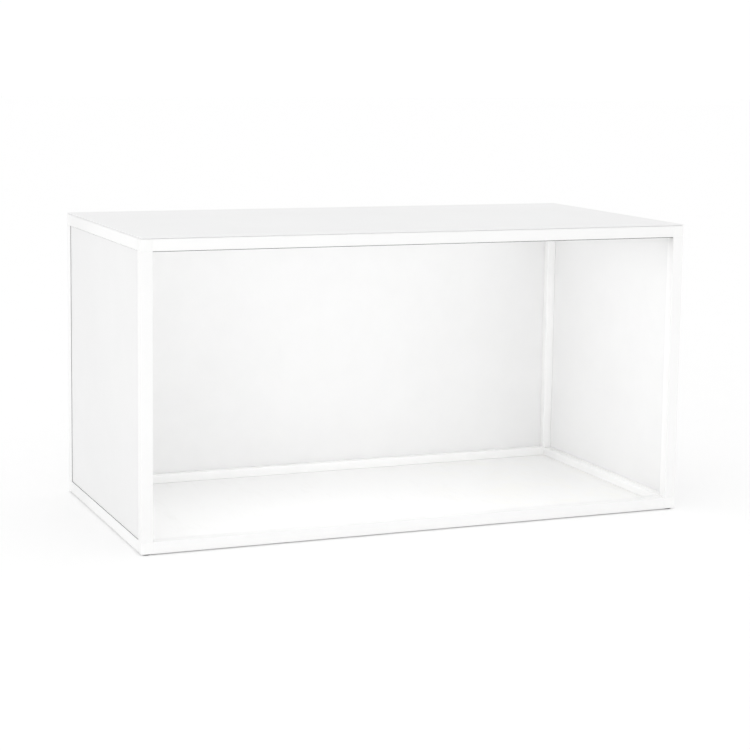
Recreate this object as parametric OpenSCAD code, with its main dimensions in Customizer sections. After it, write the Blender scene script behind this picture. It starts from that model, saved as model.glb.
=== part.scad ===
// Open-front aquarium stand cabinet.
// A square-tube frame is plugged together on three-way corner connectors. Thin infill
// sheets sit in grooves in the tubes, and a flat plate is bonded over the top.
// Millimetres. Origin: centre of the footprint, on the floor. The front faces -Y, up is +Z.

/* [Overall size] */

// Width over the frame, left to right
overall_w = 1000; // [600:10:1400]

// Depth over the frame, front to back
overall_d = 500; // [300:10:700]

// Height from the floor to the top of the top plate
overall_h = 520; // [350:5:900]

/* [Frame tube] */

// Outside size of the square tube
tube = 20; // [20:1:30]

// Wall of the tube
wall = 1.5; // [1.2:0.1:1.8]

// Depth of the groove that holds the edge of a sheet
groove_depth = 6; // [5:0.5:7]

/* [Corner connectors] */

// Length of a connector leg inside its tube
leg_length = 28; // [20:1:40]

// Gap between a leg and the tube wall, on each side
leg_gap = 0.15; // [0.1:0.05:0.3]

/* [Sheets and top plate] */

// Thickness of the infill sheets and the floor sheet
sheet_t = 2; // [1.5:0.1:3]

// Gap between a sheet's inner face and the groove
sheet_gap = 0.2; // [0.1:0.05:0.3]

// Thickness of the gasket between a sheet and the outer lip of its groove
gasket_t = 0.4; // [0.3:0.1:1]

// Width of gasket that shows beyond the lip of the groove
gasket_show = 0.5; // [0.4:0.1:2]

// Gap between a sheet's edge and the bottom of its groove
edge_gap = 1; // [0.5:0.1:2]

// Thickness of the top plate
plate_t = 2; // [1.5:0.1:4]

// Thickness of the bonding tape under the top plate
tape_t = 0.5; // [0.4:0.1:1]

// Width of the bonding tape
tape_w = 12; // [8:1:14]

/* [Opening seal] */

// Thickness of the seal under the top front rail
seal_t = 1; // [0.8:0.1:3]

// Width of the seal, front to back
seal_w = 8; // [6:1:12]

/* [Top braces] */

// Distance of each brace from the middle of the stand
brace_x = 165; // [120:5:230]

// Length of each arm of a brace bracket
bracket_arm = 20; // [18:1:30]

// Height of a brace bracket
bracket_h = 14; // [12:1:16]

// Thickness of a brace bracket
bracket_t = 2; // [1.5:0.1:3]

/* [Screws and feet] */

// Shank radius of the bracket screws
screw_r = 1.95; // [1.6:0.05:2.2]

// Length of the bracket screws under the head
screw_len = 10; // [8:0.5:11]

// Radius of the foot pads
pad_r = 7; // [6:0.5:9.5]

// Thickness of the foot pads
pad_t = 2; // [2:0.5:6]

/* [Node] */

// Which sub-part to draw

/* [Hidden] */

$fn = 64;

// Groove and chamber lines across the tube, measured from an outer face
slot_w = gasket_t + sheet_t + sheet_gap;
slot_back = wall + slot_w;
chamber_low = slot_back + wall;
chamber_high = tube - wall;
groove_floor = tube - groove_depth;

// Heights
frame_h = overall_h - pad_t - tape_t - plate_t;
frame_mid = pad_t + frame_h / 2;
rail_top = pad_t + frame_h;
plate_z = overall_h - plate_t;

// Cut lengths
post_len = frame_h - 2 * tube;
wide_len = overall_w - 2 * tube;
deep_len = overall_d - 2 * tube;

// Sheets
sheet_reach = groove_depth - edge_gap;
sheet_offset = wall + gasket_t;
sheet_wide = wide_len + 2 * sheet_reach;
sheet_deep = deep_len + 2 * sheet_reach;
sheet_high = post_len + 2 * sheet_reach;

// Gaskets
gasket_w = sheet_reach + gasket_show;

// Connector legs
leg_low = chamber_low + leg_gap;
leg_side = chamber_high - chamber_low - 2 * leg_gap;
lead_in = 1;
lead_in_len = 3;

// Bracket screws
head_r = 3.4;
head_h = 2.2;
socket_r = 1.5;
socket_depth = 1.2;
pilot_r = screw_r + 0.05;
bracket_hole_r = screw_r + 0.25;
screw_at = 12;

// Bonding tape
tape_inset = 3;
tape_break = 1;

// Opening seal
seal_inset = 2;

frame_white = [0.95, 0.95, 0.94];
connector_white = [0.93, 0.93, 0.92];
sheet_grey = [0.86, 0.86, 0.86];
floor_white = [0.92, 0.92, 0.91];
steel_grey = [0.70, 0.71, 0.72];
tape_white = [0.86, 0.86, 0.85];
gasket_black = [0.14, 0.14, 0.15];
pad_black = [0.10, 0.10, 0.10];

// Moves a piece drawn for the bottom front left corner of the frame to any corner.
module at_corner(sx, sy, sz) {
  translate([0, 0, frame_mid])
    mirror([sx > 0 ? 1 : 0, 0, 0])
      mirror([0, sy > 0 ? 1 : 0, 0])
        mirror([0, 0, sz > 0 ? 1 : 0])
          translate([-overall_w / 2, -overall_d / 2, -frame_h / 2])
            children();
}

// Section of the tube. The outer faces of the frame lie along x = 0 and y = 0.
// groove_a holds a sheet along the x = 0 face, and groove_b one along the y = 0 face.
module tube_section(groove_a, groove_b) {
  difference() {
    square(tube);
    difference() {
      translate([wall, wall])
        square(tube - 2 * wall);
      if (groove_a)
        translate([0, groove_floor - wall])
          square([chamber_low, tube]);
      if (groove_b)
        translate([groove_floor - wall, 0])
          square([tube, chamber_low]);
    }
    if (groove_a)
      translate([wall, groove_floor])
        square([slot_w, tube]);
    if (groove_b)
      translate([groove_floor, wall])
        square([tube, slot_w]);
  }
}

// Upright tube between two corner connectors.
module post(sx, sy) {
  color(frame_white)
    at_corner(sx, sy, -1)
      translate([0, 0, tube])
        linear_extrude(post_len)
          tube_section(true, sy > 0);
}

// Tube from the front to the back, on the left or right.
module side_rail(sx, sz) {
  color(frame_white)
    at_corner(sx, -1, sz)
      translate([0, tube + deep_len, 0])
        rotate([90, 0, 0])
          linear_extrude(deep_len)
            tube_section(true, sz < 0);
}

// Tube across the front or the back. The top ones are drilled for the brace brackets.
module wide_rail(sy, sz) {
  color(frame_white)
    difference() {
      at_corner(-1, sy, sz)
        translate([tube, 0, 0])
          rotate([90, 0, 90])
            linear_extrude(wide_len)
              tube_section(sy > 0, sz < 0);
      if (sz > 0)
        for (side = [-1, 1])
          for (face = [-1, 1])
            at_bracket(side, sy, face)
              translate([screw_at, wall, 0])
                rotate([90, 0, 0])
                  cylinder(r = pilot_r, h = 4 * wall);
    }
}

// Three-way connector: a cube with three legs, and pockets where sheet corners pass.
module corner_connector(sx, sy, sz) {
  color(connector_white)
    at_corner(sx, sy, sz)
      difference() {
        union() {
          cube(tube);
          connector_leg();
          rotate([0, 0, 90])
            mirror([0, 1, 0])
              connector_leg();
          rotate([0, -90, 0])
            mirror([0, 0, 1])
              connector_leg();
        }
        translate([wall, groove_floor, groove_floor])
          cube([slot_w, tube, tube]);
        if (sy > 0)
          translate([groove_floor, wall, groove_floor])
            cube([tube, slot_w, tube]);
        if (sz < 0)
          translate([groove_floor, groove_floor, wall])
            cube([tube, tube, slot_w]);
      }
}

// One connector leg, along +X, with a stepped lead-in at its tip.
module connector_leg() {
  translate([tube - 1, leg_low, leg_low])
    cube([leg_length + 1 - lead_in_len, leg_side, leg_side]);
  translate([tube + leg_length - lead_in_len, leg_low + lead_in, leg_low + lead_in])
    cube([lead_in_len, leg_side - 2 * lead_in, leg_side - 2 * lead_in]);
}

module side_sheet(sx) {
  color(sheet_grey)
    at_corner(sx, -1, -1)
      translate([sheet_offset, tube - sheet_reach, tube - sheet_reach])
        cube([sheet_t, sheet_deep, sheet_high]);
}

module back_sheet() {
  color(sheet_grey)
    at_corner(-1, 1, -1)
      translate([tube - sheet_reach, sheet_offset, tube - sheet_reach])
        cube([sheet_wide, sheet_t, sheet_high]);
}

module floor_sheet() {
  color(floor_white)
    at_corner(-1, -1, -1)
      translate([tube - sheet_reach, tube - sheet_reach, sheet_offset])
        cube([sheet_wide, sheet_deep, sheet_t]);
}

// Flat ring that lines the groove on the outer face of a sheet, drawn in the XY plane.
module gasket_ring(long, short) {
  linear_extrude(gasket_t)
    difference() {
      square([long, short]);
      translate([gasket_w, gasket_w])
        square([long - 2 * gasket_w, short - 2 * gasket_w]);
    }
}

module side_gasket(sx) {
  color(gasket_black)
    at_corner(sx, -1, -1)
      translate([wall, tube - sheet_reach, tube - sheet_reach])
        rotate([90, 0, 90])
          gasket_ring(sheet_deep, sheet_high);
}

module back_gasket() {
  color(gasket_black)
    at_corner(-1, 1, -1)
      translate([tube - sheet_reach, wall + gasket_t, tube - sheet_reach])
        rotate([90, 0, 0])
          gasket_ring(sheet_wide, sheet_high);
}

module floor_gasket() {
  color(gasket_black)
    at_corner(-1, -1, -1)
      translate([tube - sheet_reach, tube - sheet_reach, wall])
        gasket_ring(sheet_wide, sheet_deep);
}

// Thin strip stuck under the top front rail, just behind its front face.
module opening_seal() {
  color(gasket_black)
    translate([-wide_len / 2, -overall_d / 2 + seal_inset, rail_top - tube - seal_t])
      cube([wide_len, seal_w, seal_t]);
}

module top_plate() {
  color(sheet_grey)
    translate([-overall_w / 2, -overall_d / 2, plate_z])
      cube([overall_w, overall_d, plate_t]);
}

// Bonding tape on the top rails and on the braces.
module top_tape() {
  side_run = overall_d - 2 * (tape_inset + tape_w + tape_break);
  color(tape_white)
    translate([0, 0, rail_top]) {
      for (sy = [-1, 1])
        translate([0, sy * (overall_d / 2 - tape_inset - tape_w / 2), tape_t / 2])
          cube([overall_w - 2 * tape_inset, tape_w, tape_t], center = true);
      for (sx = [-1, 1])
        translate([sx * (overall_w / 2 - tape_inset - tape_w / 2), 0, tape_t / 2])
          cube([tape_w, side_run, tape_t], center = true);
      for (sx = [-1, 1])
        translate([sx * brace_x, 0, tape_t / 2])
          cube([tape_w, side_run, tape_t], center = true);
    }
}

// Plain tube under the top plate, from the front rail to the back rail.
module top_brace(sx) {
  color(frame_white)
    difference() {
      translate([sx * brace_x - tube / 2, -deep_len / 2, rail_top - tube])
        cube([tube, deep_len, tube]);
      translate([sx * brace_x - tube / 2 + wall, -deep_len / 2 - 1, rail_top - tube + wall])
        cube([tube - 2 * wall, deep_len + 2, tube - 2 * wall]);
      for (sy = [-1, 1])
        translate([sx * brace_x, sy * (deep_len / 2 - screw_at), rail_top - tube / 2])
          rotate([0, 90, 0])
            cylinder(r = pilot_r, h = tube + 2, center = true);
    }
}

// Puts a bracket drawn in the corner between a rail (along X) and a brace (along Y)
// in its place: brace side, front or back end, and left or right face of the brace.
module at_bracket(side, sy, face) {
  translate([side * brace_x + face * tube / 2, sy * deep_len / 2, rail_top - tube / 2])
    mirror([face < 0 ? 1 : 0, 0, 0])
      mirror([0, sy > 0 ? 1 : 0, 0])
        children();
}

// Angle bracket with one screw hole in each arm.
module bracket() {
  difference() {
    union() {
      translate([0, 0, -bracket_h / 2])
        cube([bracket_arm, bracket_t, bracket_h]);
      translate([0, 0, -bracket_h / 2])
        cube([bracket_t, bracket_arm, bracket_h]);
    }
    translate([screw_at, -1, 0])
      rotate([-90, 0, 0])
        cylinder(r = bracket_hole_r, h = bracket_t + 2);
    translate([-1, screw_at, 0])
      rotate([0, 90, 0])
        cylinder(r = bracket_hole_r, h = bracket_t + 2);
  }
}

module brace_brackets(side) {
  color(steel_grey)
    for (sy = [-1, 1])
      for (face = [-1, 1])
        at_bracket(side, sy, face)
          bracket();
}

// Pan-head screw with a hexagon socket. The head sits on z = 0 and the shank goes down.
module screw() {
  difference() {
    union() {
      cylinder(r = head_r, h = head_h);
      translate([0, 0, -screw_len])
        cylinder(r = screw_r, h = screw_len + 1);
    }
    translate([0, 0, head_h - socket_depth])
      cylinder(r = socket_r, h = socket_depth + 1, $fn = 6);
  }
}

module bracket_screws() {
  color(steel_grey)
    for (side = [-1, 1])
      for (sy = [-1, 1])
        for (face = [-1, 1])
          at_bracket(side, sy, face) {
            translate([screw_at, bracket_t, 0])
              rotate([-90, 0, 0])
                screw();
            translate([bracket_t, screw_at, 0])
              rotate([0, 90, 0])
                screw();
          }
}

module foot_pads() {
  color(pad_black)
    for (sx = [-1, 1])
      for (sy = [-1, 1])
        translate([sx * (overall_w - tube) / 2, sy * (overall_d - tube) / 2, 0])
          cylinder(r = pad_r, h = pad_t);
}

post(-1, -1);  // post_front_left
post(1, -1);  // post_front_right
post(-1, 1);  // post_back_left
post(1, 1);  // post_back_right
wide_rail(-1, 1);  // rail_top_front
wide_rail(1, 1);  // rail_top_back
side_rail(-1, 1);  // rail_top_left
side_rail(1, 1);  // rail_top_right
wide_rail(-1, -1);  // rail_bottom_front
wide_rail(1, -1);  // rail_bottom_back
side_rail(-1, -1);  // rail_bottom_left
side_rail(1, -1);  // rail_bottom_right
corner_connector(-1, -1, -1);  // corner_bottom_front_left
corner_connector(1, -1, -1);  // corner_bottom_front_right
corner_connector(-1, 1, -1);  // corner_bottom_back_left
corner_connector(1, 1, -1);  // corner_bottom_back_right
corner_connector(-1, -1, 1);  // corner_top_front_left
corner_connector(1, -1, 1);  // corner_top_front_right
corner_connector(-1, 1, 1);  // corner_top_back_left
corner_connector(1, 1, 1);  // corner_top_back_right
side_sheet(-1);  // left_sheet
side_sheet(1);  // right_sheet
back_sheet();
floor_sheet();
side_gasket(-1);  // left_gasket
side_gasket(1);  // right_gasket
back_gasket();
floor_gasket();
opening_seal();
top_plate();
top_tape();
top_brace(-1);  // top_brace_left
top_brace(1);  // top_brace_right
brace_brackets(-1);  // brace_brackets_left
brace_brackets(1);  // brace_brackets_right
bracket_screws();
foot_pads();
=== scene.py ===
"""Looks of the open-front aquarium stand cabinet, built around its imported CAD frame.

Every finished piece stands for one CAD node, keeps inside that node's box, and rides on the
stand's only body. Sizes are in metres.
"""

import logging
import math
from dataclasses import dataclass
from enum import Enum
from typing import Callable, Sequence

import bpy
from mathutils import Matrix, Vector


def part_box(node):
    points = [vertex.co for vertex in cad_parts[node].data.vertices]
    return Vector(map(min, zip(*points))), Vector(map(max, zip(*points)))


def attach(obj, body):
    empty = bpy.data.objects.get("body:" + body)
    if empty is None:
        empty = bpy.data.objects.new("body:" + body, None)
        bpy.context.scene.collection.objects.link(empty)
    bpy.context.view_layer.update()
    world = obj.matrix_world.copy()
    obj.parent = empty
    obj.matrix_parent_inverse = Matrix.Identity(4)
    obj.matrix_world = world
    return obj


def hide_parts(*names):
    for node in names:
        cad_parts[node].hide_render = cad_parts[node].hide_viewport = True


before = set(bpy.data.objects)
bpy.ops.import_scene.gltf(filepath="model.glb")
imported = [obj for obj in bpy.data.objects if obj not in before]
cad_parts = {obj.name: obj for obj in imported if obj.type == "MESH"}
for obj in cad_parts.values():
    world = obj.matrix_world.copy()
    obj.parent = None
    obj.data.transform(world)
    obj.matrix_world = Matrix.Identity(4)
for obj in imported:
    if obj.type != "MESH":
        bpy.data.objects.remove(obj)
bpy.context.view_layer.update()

BODY = "root"
MM = 0.001
log = logging.getLogger("stand")

Colour = tuple[float, float, float]
Range = tuple[float, float]


class Slot(Enum):
    """Material slots of the record."""

    FRAME = "frame_coat"
    NYLON = "connector_nylon"
    SHEET = "sheet_coat"
    FLOOR = "floor_coat"
    TAPE = "foam_tape"
    # Dark rubber slot: its colour also paints the shadow lines round the sheets and under the top front
    # rail.
    GASKET = "gasket_rubber"
    STEEL = "zinc_steel"
    FOOT = "foot_rubber"


class Element(Enum):
    """What edit mode selects."""

    EDGE = "EDGE"
    FACE = "FACE"


class Joining(Enum):
    """Ways of combining two pieces."""

    CUT = "DIFFERENCE"
    ADD = "UNION"


@dataclass(frozen=True)
class Side:
    """An outward direction along a row axis."""

    axis: int
    sign: int


LEFT, RIGHT = Side(0, -1), Side(0, 1)
FRONT, BACK = Side(1, -1), Side(1, 1)
BOTTOM, TOP = Side(2, -1), Side(2, 1)


@dataclass(frozen=True)
class Stock:
    """Sizes that the frame's pieces share."""

    tube: float = 20 * MM
    wall: float = 1.5 * MM
    slot: float = 2.6 * MM
    groove_depth: float = 6 * MM
    long_edge: float = 0.9 * MM
    fine_edge: float = 0.15 * MM

    @property
    def chamber_low(self) -> float:
        """Distance from an outer face to the chamber behind a groove."""
        return self.wall + self.slot + self.wall

    @property
    def chamber_high(self) -> float:
        """Distance from an outer face to the far wall of the chamber."""
        return self.tube - self.wall

    @property
    def groove_floor(self) -> float:
        """Distance from an outer face to the bottom of a groove."""
        return self.tube - self.groove_depth

    @property
    def groove_wall(self) -> float:
        """Distance from an outer face to the wall under a groove."""
        return self.groove_floor - self.wall


STOCK = Stock()


# ---------------------------------------------------------------- modelling


class Workpiece:
    """A mesh object that is shaped with modelling operators."""

    def __init__(self, obj: bpy.types.Object) -> None:
        """Wraps an object that is already in the scene."""
        self.obj = obj

    @staticmethod
    def clear_selection() -> None:
        """Leaves edit mode and deselects everything."""
        if bpy.context.object and bpy.context.object.mode != "OBJECT":
            bpy.ops.object.mode_set(mode="OBJECT")
        bpy.ops.object.select_all(action="DESELECT")

    @classmethod
    def box(cls, name: str, low: Sequence[float], high: Sequence[float]) -> "Workpiece":
        """Adds a box between two corners.

        Args:
            name: Name of the new object.
            low: Lowest corner.
            high: Highest corner.

        Returns:
            The box, with its place in its mesh.
        """
        low, high = Vector(low), Vector(high)
        cls.clear_selection()
        bpy.ops.mesh.primitive_cube_add(size=1, location=(low + high) / 2)
        piece = cls(bpy.context.object)
        piece.obj.name = name
        piece.obj.scale = high - low
        piece.settle()
        return piece

    @classmethod
    def rod(cls, name: str, foot: Sequence[float], radius: float, length: float, axis: int,
            sides: int = 48) -> "Workpiece":
        """Adds a cylinder that starts at a point and runs along a row axis.

        Args:
            name: Name of the new object.
            foot: Centre of the starting end.
            radius: Radius.
            length: Length, negative to run the other way.
            axis: Row axis that it runs along.
            sides: Number of sides.

        Returns:
            The cylinder, with its place in its mesh.
        """
        centre = Vector(foot)
        centre[axis] += length / 2
        turn = ((0, math.pi / 2, 0), (-math.pi / 2, 0, 0), (0, 0, 0))[axis]
        cls.clear_selection()
        bpy.ops.mesh.primitive_cylinder_add(
            vertices=sides, radius=radius, depth=abs(length), location=centre, rotation=turn
        )
        piece = cls(bpy.context.object)
        piece.obj.name = name
        piece.settle()
        return piece

    def only(self) -> None:
        """Selects this object alone and makes it the active one."""
        self.clear_selection()
        self.obj.select_set(True)
        bpy.context.view_layer.objects.active = self.obj

    def settle(self) -> None:
        """Moves the object's place, turn and scale into its mesh."""
        self.only()
        bpy.ops.object.transform_apply(location=True, rotation=True, scale=True)

    def pick(self, kind: Element, test: Callable[[list[Vector]], bool]) -> None:
        """Enters edit mode with the elements that pass a test selected.

        Args:
            kind: Edges or faces.
            test: Takes an element's corner points, and says if it is selected.
        """
        self.only()
        mesh = self.obj.data
        points = [v.co.copy() for v in mesh.vertices]
        for items in (mesh.vertices, mesh.edges, mesh.polygons):
            items.foreach_set("select", [False] * len(items))
        for item in mesh.edges if kind == Element.EDGE else mesh.polygons:
            item.select = test([points[i] for i in item.vertices])
        bpy.context.tool_settings.mesh_select_mode = (
            False, kind == Element.EDGE, kind == Element.FACE
        )
        bpy.ops.object.mode_set(mode="EDIT")

    def done(self) -> None:
        """Leaves edit mode."""
        bpy.ops.object.mode_set(mode="OBJECT")

    def apply(self, kind: str, **settings: object) -> None:
        """Adds a modifier and applies it.

        Args:
            kind: Type of the modifier.
            settings: Its attributes.
        """
        self.only()
        modifier = self.obj.modifiers.new(kind.title(), kind)
        for key, value in settings.items():
            setattr(modifier, key, value)
        bpy.ops.object.modifier_apply(modifier=modifier.name)

    def combine(self, other: "Workpiece", joining: Joining) -> None:
        """Combines this piece with another by a Boolean, and removes the other.

        Args:
            other: The tool or the added piece.
            joining: Whether it cuts or is added.
        """
        self.apply("BOOLEAN", operation=joining.value, object=other.obj, solver="EXACT")
        mesh = other.obj.data
        bpy.data.objects.remove(other.obj)
        bpy.data.meshes.remove(mesh)

    def round_edges(self, test: Callable[[list[Vector]], bool], width: float,
                    segments: int = 3) -> None:
        """Rounds the edges that pass a test.

        Args:
            test: Takes an edge's two ends, and says if it is rounded.
            width: Width of the rounding.
            segments: Number of faces across it.
        """
        self.pick(Element.EDGE, test)
        bpy.ops.mesh.bevel(offset=width, segments=segments, affect="EDGES", profile=0.5)
        self.done()

    def soften(self, width: float, segments: int = 2, angle: float = 40) -> None:
        """Takes the sharpness off every edge that turns by more than an angle.

        Args:
            width: Width of the rounding.
            segments: Number of faces across it.
            angle: The angle in degrees.
        """
        self.apply(
            "BEVEL", width=width, segments=segments, limit_method="ANGLE",
            angle_limit=math.radians(angle), harden_normals=False,
        )

    def finish(self, angle: float = 35) -> bpy.types.Object:
        """Merges doubles, points the faces outwards and sets the shading.

        Args:
            angle: Edges that turn by more than this many degrees stay sharp in shading.

        Returns:
            The finished object.
        """
        self.pick(Element.FACE, lambda _: True)
        bpy.ops.mesh.remove_doubles(threshold=1e-6)
        bpy.ops.mesh.select_all(action="SELECT")
        bpy.ops.mesh.normals_make_consistent(inside=False)
        self.done()
        bpy.ops.object.shade_smooth_by_angle(angle=math.radians(angle))
        return self.obj

    def copy(self, name: str, place: Matrix) -> "Workpiece":
        """Copies the piece with its own mesh.

        Args:
            name: Name of the copy.
            place: Where the copy goes, applied to its mesh.

        Returns:
            The copy.
        """
        obj = self.obj.copy()
        obj.data = self.obj.data.copy()
        obj.data.transform(place)
        obj.name = name
        bpy.context.collection.objects.link(obj)
        copy = Workpiece(obj)
        if place.determinant() < 0:
            copy.pick(Element.FACE, lambda _: True)
            bpy.ops.mesh.flip_normals()
            copy.done()
        return copy

    @classmethod
    def join(cls, name: str, pieces: "list[Workpiece]") -> "Workpiece":
        """Joins pieces into one object.

        Args:
            name: Name of the joined object.
            pieces: The pieces, at least one.

        Returns:
            The joined piece.
        """
        cls.clear_selection()
        for piece in pieces:
            piece.obj.select_set(True)
        bpy.context.view_layer.objects.active = pieces[0].obj
        if len(pieces) > 1:
            bpy.ops.object.join()
        pieces[0].obj.name = name
        return pieces[0]


def near(value: float, target: float, slack: float = 1e-5) -> bool:
    """Says whether two lengths are the same."""
    return abs(value - target) < slack


# ---------------------------------------------------------------- shaders


class Wire:
    """A shader value that takes part in ordinary arithmetic."""

    def __init__(self, graph: "Graph", socket: bpy.types.NodeSocket) -> None:
        """Wraps an output socket of a graph."""
        self.graph = graph
        self.socket = socket

    def _math(self, operation: str, first: object, second: object) -> "Wire":
        """Adds one Math node on two values."""
        return self.graph.add("ShaderNodeMath", {"operation": operation}, {0: first, 1: second})

    def __add__(self, other: object) -> "Wire":
        """self + other."""
        return self._math("ADD", self, other)

    def __radd__(self, other: object) -> "Wire":
        """other + self."""
        return self._math("ADD", other, self)

    def __sub__(self, other: object) -> "Wire":
        """self - other."""
        return self._math("SUBTRACT", self, other)

    def __rsub__(self, other: object) -> "Wire":
        """other - self."""
        return self._math("SUBTRACT", other, self)

    def __mul__(self, other: object) -> "Wire":
        """self * other."""
        return self._math("MULTIPLY", self, other)

    def __rmul__(self, other: object) -> "Wire":
        """other * self."""
        return self._math("MULTIPLY", other, self)


class Graph:
    """The node tree of one material, with a Principled shader at its end."""

    def __init__(self, name: str) -> None:
        """Starts an empty material."""
        self.material = bpy.data.materials.new(name)
        self.material.use_nodes = True
        self.tree = self.material.node_tree
        self.tree.nodes.clear()
        self.shader = self.tree.nodes.new("ShaderNodeBsdfPrincipled")
        output = self.tree.nodes.new("ShaderNodeOutputMaterial")
        self.tree.links.new(self.shader.outputs["BSDF"], output.inputs["Surface"])
        self.place = self.add("ShaderNodeTexCoord", {}, {}, "Object")

    def add(self, kind: str, settings: dict[str, object], inputs: dict[object, object],
            output: object = 0) -> Wire:
        """Adds a node.

        Args:
            kind: Type of the node.
            settings: Attributes set on the node before its sockets.
            inputs: Values or wires, by socket name or number.
            output: Name or number of the output wanted.

        Returns:
            A wire from that output.
        """
        node = self.tree.nodes.new(kind)
        for key, value in settings.items():
            setattr(node, key, value)
        for key, value in inputs.items():
            self.connect(node.inputs[key], value)
        return Wire(self, node.outputs[output])

    def connect(self, socket: bpy.types.NodeSocket, value: object) -> None:
        """Gives a socket its input.

        Args:
            socket: An input of a node.
            value: A wire to link, or the socket's own value.
        """
        if isinstance(value, Wire):
            self.tree.links.new(value.socket, socket)
        else:
            socket.default_value = value

    def set(self, **inputs: object) -> None:
        """Sets or links the Principled shader's sockets, with _ for a space."""
        for key, value in inputs.items():
            self.connect(self.shader.inputs[key.replace("_", " ")], value)

    def stretched(self, scale: Sequence[float]) -> Wire:
        """Object coordinates, scaled along each axis."""
        return self.add("ShaderNodeMapping", {}, {"Vector": self.place, "Scale": tuple(scale)})

    def noise(self, scale: float, detail: float = 2, roughness: float = 0.5,
              vector: Wire | None = None, distortion: float = 0) -> Wire:
        """Noise between 0 and 1.

        Args:
            scale: Features to the metre.
            detail: Number of finer layers.
            roughness: Weight of the finer layers.
            vector: Coordinates, or the object's own.
            distortion: Amount of swirl.

        Returns:
            The noise value.
        """
        return self.add("ShaderNodeTexNoise", {}, {
            "Vector": vector or self.place, "Scale": scale, "Detail": detail,
            "Roughness": roughness, "Distortion": distortion,
        })

    def between(self, value: Wire, low: float, high: float, to: Range = (0, 1)) -> Wire:
        """Maps a value smoothly to another range, and clamps it.

        Args:
            value: The value.
            low: Value that gives the start of the range.
            high: Value that gives its end.
            to: The range.

        Returns:
            The mapped value.
        """
        return self.add("ShaderNodeMapRange", {"interpolation_type": "SMOOTHSTEP"}, {
            "Value": value, "From Min": low, "From Max": high, "To Min": to[0], "To Max": to[1],
        })

    def blend(self, factor: object, first: object, second: object) -> Wire:
        """Mixes two colours.

        Args:
            factor: Share of the second colour.
            first: Colour or wire.
            second: Colour or wire.

        Returns:
            The mixed colour.
        """
        pair = [c if isinstance(c, Wire) else (*c, 1) for c in (first, second)]
        settings = {"data_type": "RGBA"}
        return self.add("ShaderNodeMix", settings, {0: factor, 6: pair[0], 7: pair[1]}, 2)

    def relief(self, height: Wire, depth: float, strength: float = 1) -> Wire:
        """Turns a height into a surface normal.

        Args:
            height: Height between 0 and 1.
            depth: Depth in metres that a height of 1 stands for.
            strength: Share of the effect that is kept.

        Returns:
            The normal.
        """
        return self.add(
            "ShaderNodeBump", {}, {"Height": height, "Distance": depth, "Strength": strength}
        )


@dataclass(frozen=True)
class PowderCoat:
    """Sprayed and baked coating: a fine orange peel over an even colour."""

    name: str
    colour: Colour
    shade: Colour
    roughness: Range
    drift: float = 3.2
    cloud: float = 21
    peel: float = 620
    peel_depth: float = 0.05 * MM
    speck: float = 2600
    speck_depth: float = 0.012 * MM

    def make(self) -> bpy.types.Material:
        """Builds the material."""
        graph = Graph(self.name)
        drift = graph.noise(self.drift, 3, 0.55)
        cloud = graph.noise(self.cloud, 4, 0.6)
        fine = graph.noise(self.speck, 1)
        tone = graph.between(drift * 0.5 + cloud * 0.3 + fine * 0.2, 0.3, 0.7)
        peel = graph.noise(self.peel, 2, 0.45)
        share = self.speck_depth / self.peel_depth
        height = peel * (1 - share) + fine * share
        graph.set(
            Base_Color=graph.blend(tone, self.shade, self.colour),
            Roughness=graph.between(cloud * 0.6 + fine * 0.4, 0.3, 0.7, self.roughness),
            Normal=graph.relief(height, self.peel_depth, 0.6),
        )
        return graph.material


@dataclass(frozen=True)
class FloorCoat:
    """White coated floor sheet with faint drawn streaks and a slight warm stain."""

    name: str
    colour: Colour
    streak: Colour
    warm: Colour
    grain_scale: tuple[float, float, float] = (46, 9, 20)
    wear_scale: tuple[float, float, float] = (120, 14, 40)
    stain_scale: float = 11
    stain_span: Range = (-0.05, 0.42)
    grit: float = 1900
    depth: float = 0.04 * MM
    roughness: Range = (0.34, 0.5)

    def make(self) -> bpy.types.Material:
        """Builds the material."""
        graph = Graph(self.name)
        long_grain = graph.noise(1, 5, 0.62, graph.stretched(self.grain_scale), 1.6)
        broken = graph.noise(9, 3, 0.6)
        streaks = graph.between(long_grain, 0.52, 0.68) * graph.between(broken, 0.42, 0.62)
        across = graph.add("ShaderNodeSeparateXYZ", {}, {"Vector": graph.place}, "X")
        side = graph.between(across, *self.stain_span)
        stain = graph.noise(self.stain_scale, 4, 0.65, None, 0.6)
        warm = graph.between(stain, 0.46, 0.68) * side
        tinted = graph.blend(warm * 0.85, self.colour, self.warm)
        fine = graph.noise(self.grit, 1)
        wear = graph.noise(1, 4, 0.6, graph.stretched(self.wear_scale))
        graph.set(
            Base_Color=graph.blend(streaks * 0.8, tinted, self.streak),
            Roughness=graph.between(wear, 0.3, 0.7, self.roughness),
            Normal=graph.relief(long_grain * 0.7 + fine * 0.3, self.depth, 0.5),
        )
        return graph.material


@dataclass(frozen=True)
class MouldedNylon:
    """Moulded nylon with a spark-eroded texture."""

    name: str
    colour: Colour
    shade: Colour
    grain: float = 1500
    flow: float = 55
    depth: float = 0.04 * MM
    roughness: Range = (0.42, 0.56)

    def make(self) -> bpy.types.Material:
        """Builds the material."""
        graph = Graph(self.name)
        grain = graph.noise(self.grain, 3, 0.6)
        flow = graph.noise(self.flow, 3, 0.5, None, 0.8)
        graph.set(
            Base_Color=graph.blend(graph.between(flow, 0.35, 0.65), self.shade, self.colour),
            Roughness=graph.between(grain, 0.3, 0.7, self.roughness),
            Normal=graph.relief(grain, self.depth, 0.6),
        )
        return graph.material


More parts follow.
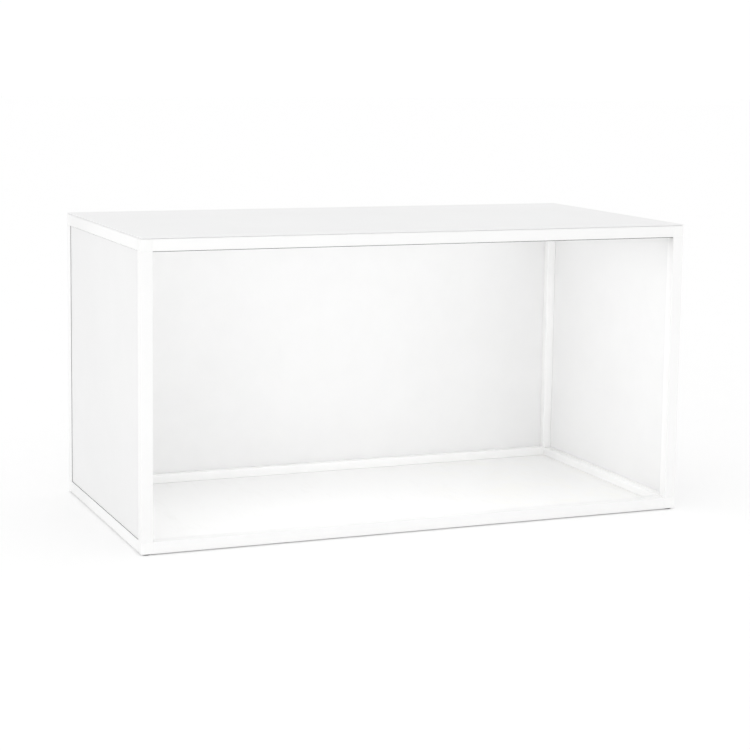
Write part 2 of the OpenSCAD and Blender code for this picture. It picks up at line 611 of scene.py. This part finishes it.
@dataclass(frozen=True)
class Rubber:
    """Extruded or foamed rubber."""

    name: str
    colour: Colour
    shade: Colour
    grain: float
    depth: float
    bloom: float = 28
    roughness: Range = (0.62, 0.8)

    def make(self) -> bpy.types.Material:
        """Builds the material."""
        graph = Graph(self.name)
        grain = graph.noise(self.grain, 3, 0.6)
        bloom = graph.noise(self.bloom, 4, 0.6)
        graph.set(
            Base_Color=graph.blend(
                graph.between(bloom * 0.6 + grain * 0.4, 0.35, 0.65), self.shade, self.colour
            ),
            Roughness=graph.between(grain, 0.3, 0.7, self.roughness),
            Normal=graph.relief(grain, self.depth, 0.7),
        )
        return graph.material


@dataclass(frozen=True)
class ZincPlate:
    """Bright zinc plate with a faint spangle and drawing lines."""

    name: str
    colour: Colour
    shade: Colour
    spangle: float = 420
    patch: float = 150
    line_scale: tuple[float, float, float] = (260, 260, 2600)
    depth: float = 0.01 * MM
    roughness: Range = (0.26, 0.42)

    def make(self) -> bpy.types.Material:
        """Builds the material."""
        graph = Graph(self.name)
        spangle = graph.add("ShaderNodeTexVoronoi", {"feature": "F1"}, {
            "Vector": graph.place, "Scale": self.spangle,
        }, "Color")
        patch = graph.noise(self.patch, 3, 0.6)
        lines = graph.noise(1, 3, 0.6, graph.stretched(self.line_scale))
        grey = graph.add("ShaderNodeRGBToBW", {}, {"Color": spangle})
        tone = graph.between(grey * 0.4 + patch * 0.6, 0.3, 0.7)
        graph.set(
            Metallic=1.0,
            Base_Color=graph.blend(tone, self.shade, self.colour),
            Roughness=graph.between(lines * 0.5 + patch * 0.5, 0.3, 0.7, self.roughness),
            Normal=graph.relief(lines, self.depth, 0.5),
        )
        return graph.material


FINISHES = {
    Slot.FRAME: PowderCoat(
        "white_powder_coat", (0.938, 0.938, 0.935), (0.914, 0.914, 0.911), (0.3, 0.48)
    ),
    Slot.NYLON: MouldedNylon("white_moulded_nylon", (0.93, 0.93, 0.926), (0.92, 0.92, 0.915)),
    Slot.SHEET: PowderCoat(
        "light_grey_coated_sheet", (0.87, 0.87, 0.87), (0.836, 0.836, 0.836), (0.42, 0.6),
        peel=900, peel_depth=0.03 * MM,
    ),
    Slot.FLOOR: FloorCoat(
        "white_coated_floor", (0.955, 0.955, 0.952), (0.915, 0.915, 0.91), (0.955, 0.95, 0.915)
    ),
    Slot.TAPE: Rubber(
        "white_foam_tape", (0.84, 0.84, 0.83), (0.79, 0.79, 0.78), 2200, 0.08 * MM
    ),
    # Near-black rubber for the gaskets and the opening seal. These are real parts, and their dark
    # colour also paints the shadow lines round the sheets and under the top front rail.
    Slot.GASKET: Rubber(
        "dark_rubber_and_painted_shadow_lines", (0.06, 0.06, 0.063), (0.04, 0.04, 0.042), 1400, 0.03 * MM
    ),
    Slot.STEEL: ZincPlate("bright_zinc_plate", (0.74, 0.75, 0.77), (0.6, 0.61, 0.63)),
    Slot.FOOT: Rubber(
        "black_foot_rubber", (0.03, 0.03, 0.03), (0.018, 0.018, 0.018), 900, 0.05 * MM
    ),
}


class Workshop:
    """Dresses finished pieces and puts them on the stand in place of their CAD nodes."""

    def __init__(self) -> None:
        """Makes every finish once."""
        self.materials = {slot: finish.make() for slot, finish in FINISHES.items()}

    def fit(self, obj: bpy.types.Object, node: str, slot: Slot) -> None:
        """Gives a piece its finish and its place on the stand.

        Args:
            obj: The finished piece.
            node: CAD node that it stands for.
            slot: Material slot of the record.
        """
        obj.data.materials.clear()
        obj.data.materials.append(self.materials[slot])
        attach(obj, BODY)
        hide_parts(node)
        log.info("%s: %d faces, in place of %s", obj.name, len(obj.data.polygons), node)


# ---------------------------------------------------------------- the frame


@dataclass(frozen=True)
class Corner:
    """Reads distances inwards from outer faces as row coordinates."""

    low: Vector
    high: Vector

    def at(self, side: Side, inward: float) -> float:
        """Finds a plane that lies inwards from an outer face.

        Args:
            side: Side of that face.
            inward: Distance from it.

        Returns:
            The plane's coordinate on the side's axis.
        """
        face = self.high if side.sign > 0 else self.low
        return face[side.axis] - side.sign * inward

    def block(self, name: str, spans: dict[Side, Range]) -> Workpiece:
        """Adds a box from its inward distances.

        Args:
            name: Name of the new object.
            spans: For one side of each axis, the nearest and farthest inward distance.

        Returns:
            The box.
        """
        low, high = Vector(), Vector()
        for side, span in spans.items():
            ends = sorted(self.at(side, distance) for distance in span)
            low[side.axis], high[side.axis] = ends
        return Workpiece.box(name, low, high)


@dataclass(frozen=True)
class Hole:
    """A round hole drilled through a wall, along a row axis."""

    foot: tuple[float, float, float]
    axis: int
    length: float
    radius: float = 2.0 * MM


@dataclass
class FrameTube:
    """One extruded tube of the frame, with a groove for each sheet that it holds."""

    node: str
    first: Side
    second: Side
    first_groove: bool
    second_groove: bool
    holes: tuple[Hole, ...] = ()
    overrun: float = 5 * MM

    def build(self) -> bpy.types.Object:
        """Cuts the chamber and the grooves from a bar and rounds its long edges."""
        low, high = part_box(self.node)
        corner = Corner(Vector(low), Vector(high))
        run = Side(3 - self.first.axis - self.second.axis, -1)
        length = corner.high[run.axis] - corner.low[run.axis]
        bar = Workpiece.box(f"{self.node}_tube", low, high)
        for a_span, b_span in self.cuts():
            spans = {self.first: a_span, self.second: b_span}
            spans[run] = (-self.overrun, length + self.overrun)
            bar.combine(corner.block("cutter", spans), Joining.CUT)
        for hole in self.holes:
            drill = Workpiece.rod("drill", hole.foot, hole.radius, hole.length, hole.axis)
            bar.combine(drill, Joining.CUT)
        bar.round_edges(lambda points: self.is_long_edge(points, corner, run), STOCK.long_edge, 4)
        bar.soften(STOCK.fine_edge)
        return bar.finish()

    def cuts(self) -> list[tuple[Range, Range]]:
        """Lists what is cut from the bar.

        Returns:
            Spans of inward distance from the first and the second face, one pair for each cut.
        """
        low, high = STOCK.chamber_low, STOCK.chamber_high
        under = STOCK.groove_wall
        cuts = [((low, high), (low, high)), ((STOCK.wall, under), (STOCK.wall, under))]
        slot = (STOCK.wall, STOCK.wall + STOCK.slot)
        mouth = (STOCK.groove_floor, STOCK.tube + self.overrun)
        if self.first_groove:
            cuts.append((slot, mouth))
        else:
            cuts.append(((STOCK.wall, high), (under - STOCK.wall, high)))
        if self.second_groove:
            cuts.append((mouth, slot))
        else:
            cuts.append(((under - STOCK.wall, high), (STOCK.wall, high)))
        return cuts

    @staticmethod
    def is_long_edge(points: list[Vector], corner: Corner, run: Side) -> bool:
        """Says whether an edge is one of the bar's four long corner edges.

        Args:
            points: The two ends of the edge.
            corner: The bar's box.
            run: Side that the bar runs along.

        Returns:
            True for a long corner edge.
        """
        across = [axis for axis in range(3) if axis != run.axis]
        if near(points[0][run.axis], points[1][run.axis]):
            return False
        return all(
            any(near(point[axis], end[axis]) for end in (corner.low, corner.high))
            for point in points for axis in across
        )


@dataclass
class CornerConnector:
    """Three-way connector: a cube, a leg into each tube, and pockets for sheet corners."""

    node: str
    sides: tuple[Side, Side, Side]
    leg_length: float = 28 * MM
    leg_gap: float = 0.15 * MM
    root: float = 1 * MM
    tip: float = 3 * MM
    tip_scale: float = 0.84

    def build(self) -> bpy.types.Object:
        """Joins the legs to the cube, cuts the pockets and rounds the outer edges."""
        low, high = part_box(self.node)
        corner = Corner(Vector(low), Vector(high))
        body = corner.block(f"{self.node}_joint", {side: (0, STOCK.tube) for side in self.sides})
        for side in self.sides:
            body.combine(self.leg(corner, side), Joining.ADD)
        for spans in self.pockets():
            body.combine(corner.block("cutter", spans), Joining.CUT)
        body.round_edges(lambda points: self.is_outer_edge(points, corner), STOCK.long_edge, 4)
        body.soften(STOCK.fine_edge)
        return body.finish()

    def leg(self, corner: Corner, side: Side) -> Workpiece:
        """Builds the leg that points inwards from a side, with a tapered tip.

        Args:
            corner: The connector's box.
            side: Outward side, opposite to the leg.

        Returns:
            The leg.
        """
        across = (STOCK.chamber_low + self.leg_gap, STOCK.chamber_high - self.leg_gap)
        shank_end = STOCK.tube + self.leg_length - self.tip
        spans = {other: across for other in self.sides}
        spans[side] = (STOCK.tube - self.root, shank_end)
        leg = corner.block("leg", spans)
        end = corner.at(side, shank_end)
        leg.pick(Element.FACE, lambda points: all(near(p[side.axis], end) for p in points))
        move = Vector()
        move[side.axis] = -side.sign * self.tip
        bpy.ops.mesh.extrude_region_move(TRANSFORM_OT_translate={"value": move})
        centre = Vector()
        for other in self.sides:
            centre[other.axis] = corner.at(other, sum(across) / 2)
        centre[side.axis] = end + move[side.axis]
        bpy.ops.transform.resize(value=[self.tip_scale] * 3, center_override=centre)
        leg.done()
        return leg

    def pockets(self) -> list[dict[Side, Range]]:
        """Lists the pockets that let a sheet's corner pass.

        Returns:
            Spans of inward distance for each pocket, by side.
        """
        slot = (STOCK.wall, STOCK.wall + STOCK.slot)
        mouth = (STOCK.groove_floor, STOCK.tube + self.root)
        return [
            {other: slot if other == side else mouth for other in self.sides}
            for side in self.sides if side not in (FRONT, TOP)
        ]

    def is_outer_edge(self, points: list[Vector], corner: Corner) -> bool:
        """Says whether an edge is one of the three that meet at the outer corner.

        Args:
            points: The two ends of the edge.
            corner: The connector's box.

        Returns:
            True for one of the three edges.
        """
        outside = sum(
            all(near(p[side.axis], corner.at(side, 0)) for p in points) for side in self.sides
        )
        return outside == 2


class StandFrame:
    """The twelve frame tubes, the two braces and the eight corner connectors."""

    posts: dict[str, tuple[Side, Side]] = {
        "post_front_left": (LEFT, FRONT), "post_front_right": (RIGHT, FRONT),
        "post_back_left": (LEFT, BACK), "post_back_right": (RIGHT, BACK),
    }
    rails: dict[str, tuple[Side, Side]] = {
        "rail_top_front": (FRONT, TOP), "rail_top_back": (BACK, TOP),
        "rail_top_left": (LEFT, TOP), "rail_top_right": (RIGHT, TOP),
        "rail_bottom_front": (FRONT, BOTTOM), "rail_bottom_back": (BACK, BOTTOM),
        "rail_bottom_left": (LEFT, BOTTOM), "rail_bottom_right": (RIGHT, BOTTOM),
    }

    def tubes(self) -> list[FrameTube]:
        """Lists every tube with its grooves and holes."""
        tubes = [
            FrameTube(node, first, second, True, second == BACK)
            for node, (first, second) in self.posts.items()
        ]
        for node, (first, second) in self.rails.items():
            holes = self.rail_holes(node) if node in ("rail_top_front", "rail_top_back") else ()
            tubes.append(
                FrameTube(node, first, second, first != FRONT, second == BOTTOM, holes)
            )
        for node in ("top_brace_left", "top_brace_right"):
            tubes.append(FrameTube(node, LEFT, TOP, False, False, self.brace_holes(node)))
        return tubes

    @staticmethod
    def rail_holes(node: str) -> tuple[Hole, ...]:
        """Places the pilot holes for the brackets in the inner wall of a top rail.

        Args:
            node: The front or the back top rail.

        Returns:
            One hole on each side of each brace.
        """
        low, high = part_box(node)
        inner, sign = (high[1], 1) if node == "rail_top_front" else (low[1], -1)
        middle = (low[2] + high[2]) / 2
        reach = 4 * STOCK.wall
        holes = []
        for brace in ("top_brace_left", "top_brace_right"):
            brace_low, brace_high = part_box(brace)
            for x in (brace_low[0] - Bracket.screw_at, brace_high[0] + Bracket.screw_at):
                foot = (x, inner - sign * reach / 2, middle)
                holes.append(Hole(foot, 1, sign * reach))
        return tuple(holes)

    @staticmethod
    def brace_holes(node: str) -> tuple[Hole, ...]:
        """Places the pilot holes for the brackets across both ends of a brace.

        Args:
            node: The brace.

        Returns:
            One hole through both walls at each end.
        """
        low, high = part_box(node)
        middle = (low[2] + high[2]) / 2
        return tuple(
            Hole((low[0] - STOCK.wall, y, middle), 0, high[0] - low[0] + 2 * STOCK.wall)
            for y in (low[1] + Bracket.screw_at, high[1] - Bracket.screw_at)
        )

    @staticmethod
    def connectors() -> list[CornerConnector]:
        """Lists the corner connectors with their outward sides."""
        return [
            CornerConnector(f"corner_{up}_{deep}_{wide}", (wide_side, deep_side, up_side))
            for up, up_side in (("bottom", BOTTOM), ("top", TOP))
            for deep, deep_side in (("front", FRONT), ("back", BACK))
            for wide, wide_side in (("left", LEFT), ("right", RIGHT))
        ]

    def build(self, shop: Workshop) -> None:
        """Builds and dresses every tube and connector."""
        for tube in self.tubes():
            shop.fit(tube.build(), tube.node, Slot.FRAME)
        for connector in self.connectors():
            shop.fit(connector.build(), connector.node, Slot.NYLON)


# ---------------------------------------------------------------- sheets and seals


@dataclass
class Sheet:
    """A flat sheet with trimmed corners and broken edges."""

    node: str
    slot: Slot
    thin_axis: int
    corner_radius: float = 2 * MM
    edge: float = 0.35 * MM

    def build(self) -> bpy.types.Object:
        """Cuts the sheet and rounds it."""
        low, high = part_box(self.node)
        sheet = Workpiece.box(f"{self.node}_panel", low, high)
        thin = self.thin_axis
        sheet.round_edges(
            lambda points: not near(points[0][thin], points[1][thin]), self.corner_radius, 5
        )
        sheet.soften(self.edge, 3, 60)
        return sheet.finish()


@dataclass
class Gasket:
    """A flat ring of dark rubber round the outer face of a sheet, with a rounded inner lip. Its dark
    colour also paints the shadow gap line round the sheet.
    """

    node: str
    thin_axis: int
    width: float = 5.5 * MM
    edge: float = 0.12 * MM
    overrun: float = 2 * MM

    def build(self) -> bpy.types.Object:
        """Cuts the middle out of a thin sheet of rubber and rounds the ring's edges."""
        low, high = (Vector(corner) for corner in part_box(self.node))
        ring = Workpiece.box(f"{self.node}_strip", low, high)
        inset = Vector((self.width, self.width, self.width))
        inset[self.thin_axis] = -self.overrun
        ring.combine(Workpiece.box("cutter", low + inset, high - inset), Joining.CUT)
        ring.soften(self.edge, 3, 60)
        return ring.finish()


@dataclass
class OpeningSeal:
    """Soft dark strip under the top front rail, with a rounded underside. Its dark colour also paints
    the shadow line under the rail.
    """

    node: str = "opening_seal"
    lower_edge: float = 0.5 * MM

    def build(self) -> bpy.types.Object:
        """Rounds the lower long edges of a strip."""
        low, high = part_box(self.node)
        strip = Workpiece.box(f"{self.node}_strip", low, high)
        strip.round_edges(
            lambda points: all(near(p[2], low[2]) for p in points)
            and not near(points[0][0], points[1][0]),
            self.lower_edge, 4,
        )
        strip.soften(0.1 * MM, 2, 60)
        return strip.finish()


@dataclass
class BondingTape:
    """Foam tape strips between the frame, the braces and the top plate."""

    node: str = "top_tape"
    width: float = 12 * MM
    gap: float = 1 * MM
    edge: float = 0.08 * MM

    def build(self) -> bpy.types.Object:
        """Lays two long strips, two side strips and one on each brace."""
        low, high = (Vector(corner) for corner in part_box(self.node))
        inset = self.width + self.gap
        spans = [
            (low.x, high.x, low.y, low.y + self.width),
            (low.x, high.x, high.y - self.width, high.y),
            (low.x, low.x + self.width, low.y + inset, high.y - inset),
            (high.x - self.width, high.x, low.y + inset, high.y - inset),
        ]
        for brace in ("top_brace_left", "top_brace_right"):
            brace_low, brace_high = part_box(brace)
            middle = (brace_low[0] + brace_high[0]) / 2
            half = self.width / 2
            spans.append((middle - half, middle + half, low.y + inset, high.y - inset))
        strips = []
        for x0, x1, y0, y1 in spans:
            strip = Workpiece.box("strip", (x0, y0, low.z), (x1, y1, high.z))
            strip.soften(self.edge, 2, 60)
            strips.append(strip)
        return Workpiece.join(f"{self.node}_strips", strips).finish()


class Infill:
    """The sheets, their gaskets, the top plate, its tape and the opening seal."""

    sheets: tuple[Sheet, ...] = (
        Sheet("left_sheet", Slot.SHEET, 0), Sheet("right_sheet", Slot.SHEET, 0),
        Sheet("back_sheet", Slot.SHEET, 1), Sheet("floor_sheet", Slot.FLOOR, 2),
        Sheet("top_plate", Slot.SHEET, 2, 1.2 * MM, 0.3 * MM),
    )
    gaskets: tuple[Gasket, ...] = (
        Gasket("left_gasket", 0), Gasket("right_gasket", 0),
        Gasket("back_gasket", 1), Gasket("floor_gasket", 2),
    )

    def build(self, shop: Workshop) -> None:
        """Builds and dresses every sheet, gasket and strip."""
        for sheet in self.sheets:
            shop.fit(sheet.build(), sheet.node, sheet.slot)
        # The gaskets and the opening seal take the dark rubber, which also paints the shadow lines
        # round the sheets and under the top front rail.
        for gasket in self.gaskets:
            shop.fit(gasket.build(), gasket.node, Slot.GASKET)
        seal, tape = OpeningSeal(), BondingTape()
        shop.fit(seal.build(), seal.node, Slot.GASKET)
        shop.fit(tape.build(), tape.node, Slot.TAPE)


# ---------------------------------------------------------------- brackets, screws and feet


@dataclass
class Bracket:
    """Pressed angle bracket with one hole in each arm."""

    arm: float = 20 * MM
    height: float = 14 * MM
    thickness: float = 2 * MM
    hole_radius: float = 2.2 * MM
    outer_bend: float = 1.6 * MM
    arm_corner: float = 2.5 * MM
    edge: float = 0.2 * MM
    screw_at: float = 12 * MM

    def build(self) -> Workpiece:
        """Joins two arms, rounds the bend and the ends, and drills both arms."""
        half = self.height / 2
        bracket = Workpiece.box("bracket", (0, 0, -half), (self.arm, self.thickness, half))
        second_arm = Workpiece.box("arm", (0, 0, -half), (self.thickness, self.arm, half))
        bracket.combine(second_arm, Joining.ADD)
        bracket.round_edges(
            lambda points: all(near(abs(p.z), half) for p in points)
            and near(points[0].z, points[1].z)
            and any(all(near(p[axis], self.arm) for p in points) for axis in (0, 1)),
            self.arm_corner, 5,
        )
        bracket.round_edges(
            lambda points: all(near(p.x, 0) and near(p.y, 0) for p in points),
            self.outer_bend, 5,
        )
        reach = 2 * self.thickness
        for foot, axis in (((self.screw_at, -self.thickness / 2, 0), 1),
                           ((-self.thickness / 2, self.screw_at, 0), 0)):
            drill = Workpiece.rod("drill", foot, self.hole_radius, reach, axis)
            bracket.combine(drill, Joining.CUT)
        bracket.soften(self.edge, 2, 50)
        return bracket


@dataclass
class PanScrew:
    """Pan-head screw with a hexagon socket and a threaded shank."""

    head_radius: float = 3.4 * MM
    head_height: float = 2.2 * MM
    dome: float = 1.3 * MM
    socket_radius: float = 1.5 * MM
    socket_depth: float = 1.2 * MM
    crest: float = 1.95 * MM
    core: float = 1.6 * MM
    length: float = 10 * MM
    turns: int = 12

    def build(self) -> Workpiece:
        """Rounds the head, sinks the socket and draws the shank out ring by ring."""
        screw = Workpiece.rod("screw", (0, 0, 0), self.head_radius, self.head_height, 2, 32)
        screw.round_edges(
            lambda points: all(near(p.z, self.head_height) for p in points), self.dome, 5
        )
        screw.pick(Element.FACE, lambda points: all(near(p.z, 0) for p in points))
        bpy.ops.mesh.inset(thickness=self.head_radius - self.core, use_even_offset=True)
        step = self.length / (2 * self.turns)
        radius = self.core
        for index in range(2 * self.turns):
            wanted = self.crest if index % 2 == 0 else self.core
            bpy.ops.mesh.extrude_region_move(TRANSFORM_OT_translate={"value": (0, 0, -step)})
            ratio = wanted / radius
            centre = (0, 0, -step * (index + 1))
            bpy.ops.transform.resize(value=(ratio, ratio, 1), center_override=centre)
            radius = wanted
        screw.done()
        foot = (0, 0, self.head_height - self.socket_depth)
        socket = Workpiece.rod("socket", foot, self.socket_radius, 2 * self.socket_depth, 2, 6)
        screw.combine(socket, Joining.CUT)
        return screw


class BraceFixings:
    """The angle brackets and screws that hold the braces to the top rails."""

    def places(self, brace: str) -> list[Matrix]:
        """Places the four brackets of a brace, as mirrors of the first.

        Args:
            brace: Node of the brace.

        Returns:
            One matrix for each bracket.
        """
        low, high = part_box(brace)
        middle_x, middle_z = (low[0] + high[0]) / 2, (low[2] + high[2]) / 2
        half_x, half_y = (high[0] - low[0]) / 2, (high[1] - low[1]) / 2
        return [
            Matrix.Translation((middle_x + face * half_x, end * half_y, middle_z))
            @ Matrix.Diagonal((face, -end, 1, 1))
            for end in (-1, 1) for face in (-1, 1)
        ]

    def build(self, shop: Workshop) -> None:
        """Copies the bracket and the screw to every place."""
        pattern = Bracket()
        master, screw = pattern.build(), PanScrew().build()
        turns = (
            Matrix.Translation((pattern.screw_at, pattern.thickness, 0))
            @ Matrix.Rotation(-math.pi / 2, 4, "X"),
            Matrix.Translation((pattern.thickness, pattern.screw_at, 0))
            @ Matrix.Rotation(math.pi / 2, 4, "Y"),
        )
        screws = []
        for side in ("left", "right"):
            places = self.places(f"top_brace_{side}")
            brackets = [master.copy("bracket_copy", place) for place in places]
            node = f"brace_brackets_{side}"
            shop.fit(Workpiece.join(f"{node}_pressed", brackets).finish(), node, Slot.STEEL)
            screws += [screw.copy("screw_copy", place @ turn) for place in places for turn in turns]
        joined = Workpiece.join("bracket_screws_threaded", screws).finish()
        shop.fit(joined, "bracket_screws", Slot.STEEL)
        for spare in (master, screw):
            bpy.data.objects.remove(spare.obj)


@dataclass
class FootPads:
    """Four rubber pads with a ring groove in the underside."""

    node: str = "foot_pads"
    radius: float = 7 * MM
    groove_outer: float = 5.2 * MM
    groove_inner: float = 3.6 * MM
    groove_depth: float = 0.6 * MM
    edge: float = 0.4 * MM

    def build(self) -> bpy.types.Object:
        """Presses a ring into one pad and copies it to the four corners."""
        low, high = (Vector(corner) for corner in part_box(self.node))
        pad = Workpiece.rod("pad", (0, 0, low.z), self.radius, high.z - low.z, 2, 64)
        pad.pick(Element.FACE, lambda points: all(near(p.z, low.z) for p in points))
        bpy.ops.mesh.inset(thickness=self.radius - self.groove_outer)
        bpy.ops.mesh.inset(thickness=self.groove_outer - self.groove_inner)
        pad.done()
        pad.pick(Element.FACE, lambda points: all(near(p.z, low.z) for p in points) and len(points) == 4
                 and all(p.xy.length < self.groove_outer + 0.1 * MM for p in points))
        bpy.ops.mesh.extrude_region_move(
            TRANSFORM_OT_translate={"value": (0, 0, self.groove_depth)}
        )
        pad.done()
        pad.soften(self.edge, 3, 60)
        pads = []
        for x in (low.x + self.radius, high.x - self.radius):
            for y in (low.y + self.radius, high.y - self.radius):
                pads.append(pad.copy("pad_copy", Matrix.Translation((x, y, 0))))
        bpy.data.objects.remove(pad.obj)
        return Workpiece.join(f"{self.node}_moulded", pads).finish()


# ---------------------------------------------------------------- studio


@dataclass
class Softbox:
    """A rectangular area light that faces a point."""

    name: str
    place: tuple[float, float, float]
    target: tuple[float, float, float]
    size: tuple[float, float]
    power: float

    def build(self) -> None:
        """Adds the light."""
        data = bpy.data.lights.new(self.name, "AREA")
        data.shape, data.energy = "RECTANGLE", self.power
        data.size, data.size_y = self.size
        lamp = bpy.data.objects.new(self.name, data)
        bpy.context.scene.collection.objects.link(lamp)
        lamp.location = self.place
        aim = Vector(self.target) - Vector(self.place)
        lamp.rotation_euler = aim.to_track_quat("-Z", "Y").to_euler()


@dataclass
class Studio:
    """Pale floor, an even white surround and soft lights, two of them for the inside."""

    sky: float = 1.01
    floor_size: float = 60.0
    floor_colour: Colour = (0.995, 0.995, 0.995)
    floor_shade: Colour = (0.985, 0.985, 0.985)
    bounces: int = 12
    lights: tuple[Softbox, ...] = (
        Softbox("side_softbox", (-2.6, -2.4, 1.0), (0, 0, 0.25), (2.0, 2.0), 8.0),
        Softbox("opening_fill", (0, -0.25, 0.26), (0, 1, 0.26), (0.92, 0.42), 0.36),
        Softbox("ceiling_fill", (0, 0, 0.487), (0, 0, 0), (0.92, 0.44), 0.48),
    )

    def floor(self) -> None:
        """Lays a plain pale floor under the feet."""
        Workpiece.clear_selection()
        bpy.ops.mesh.primitive_plane_add(size=self.floor_size, location=(0, 0, 0))
        floor = bpy.context.object
        floor.name = "studio_floor"
        graph = Graph("pale_floor")
        tone = graph.noise(6, 2)
        graph.set(
            Base_Color=graph.blend(tone, self.floor_shade, self.floor_colour),
            Roughness=0.9, Specular_IOR_Level=0.1,
        )
        floor.data.materials.append(graph.material)

    def surround(self) -> None:
        """Sets the white surround, enough bounces for white walls, and plain tones."""
        scene = bpy.context.scene
        scene.world = bpy.data.worlds.new("white_surround")
        scene.world.use_nodes = True
        background = scene.world.node_tree.nodes["Background"]
        background.inputs["Color"].default_value = (1, 1, 1, 1)
        background.inputs["Strength"].default_value = self.sky
        scene.cycles.diffuse_bounces = self.bounces
        scene.view_settings.view_transform = "Standard"
        scene.view_settings.look = "None"

    def build(self) -> None:
        """Sets up the floor, the surround and the lights."""
        self.floor()
        self.surround()
        for light in self.lights:
            light.build()


@dataclass
class ViewCamera:
    """Camera to the front left of the stand and a little above it."""

    place: tuple[float, float, float] = (-1.3215, -3.2164, 0.8163)
    yaw: float = 22.461
    pitch: float = 7.294
    roll: float = 0.756
    lens: float = 92.57
    sensor: float = 36.0
    shift_y: float = -0.1

    def build(self) -> None:
        """Adds the camera and makes it the scene's own."""
        data = bpy.data.cameras.new("view_camera")
        data.lens, data.sensor_width, data.shift_y = self.lens, self.sensor, self.shift_y
        data.clip_end = 200
        camera = bpy.data.objects.new("view_camera", data)
        bpy.context.scene.collection.objects.link(camera)
        turn = (
            Matrix.Rotation(-math.radians(self.yaw), 4, "Z")
            @ Matrix.Rotation(math.radians(90 - self.pitch), 4, "X")
            @ Matrix.Rotation(math.radians(self.roll), 4, "Z")
        )
        camera.matrix_world = Matrix.Translation(self.place) @ turn
        bpy.context.scene.camera = camera


def main() -> None:
    """Builds the stand piece by piece, then the studio and the camera."""
    logging.basicConfig(level=logging.INFO, format="%(name)s: %(message)s")
    shop = Workshop()
    StandFrame().build(shop)
    Infill().build(shop)
    BraceFixings().build(shop)
    feet = FootPads()
    shop.fit(feet.build(), feet.node, Slot.FOOT)
    Studio().build()
    ViewCamera().build()


if __name__ == "__main__":
    main()
